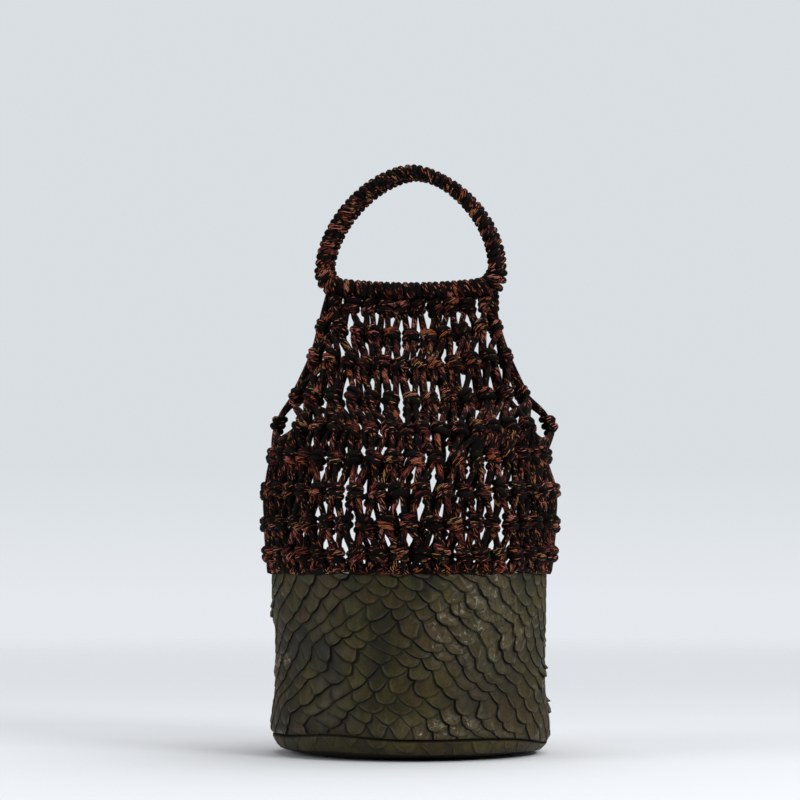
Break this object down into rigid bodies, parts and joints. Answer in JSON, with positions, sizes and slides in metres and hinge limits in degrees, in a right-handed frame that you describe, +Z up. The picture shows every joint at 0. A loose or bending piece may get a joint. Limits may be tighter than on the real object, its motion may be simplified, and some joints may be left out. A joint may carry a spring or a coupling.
{
  "type": "macrame bucket bag",
  "caption": "Bucket bag with a scaly leather lower wall and base, a knotted cord net above it, and twin cord-wrapped D handles.",
  "frame": {"origin": "on the surface it stands on, under the middle of the round base", "axes": "+Z up through the handles, the front faces -Y, +X to the right seen from the front, along the handle bars"},
  "size_m": [0.2145, 0.2145, 0.4195],
  "materials": {
    "leather": "semi-gloss",
    "cord": "matte"
  },
  "bodies": {
    "root": {"leather_base": "leather", "leather_wall": "leather", "macrame_net": "cord", "handle_front": "cord", "handle_back": "cord"}
  },
  "joints": []
}
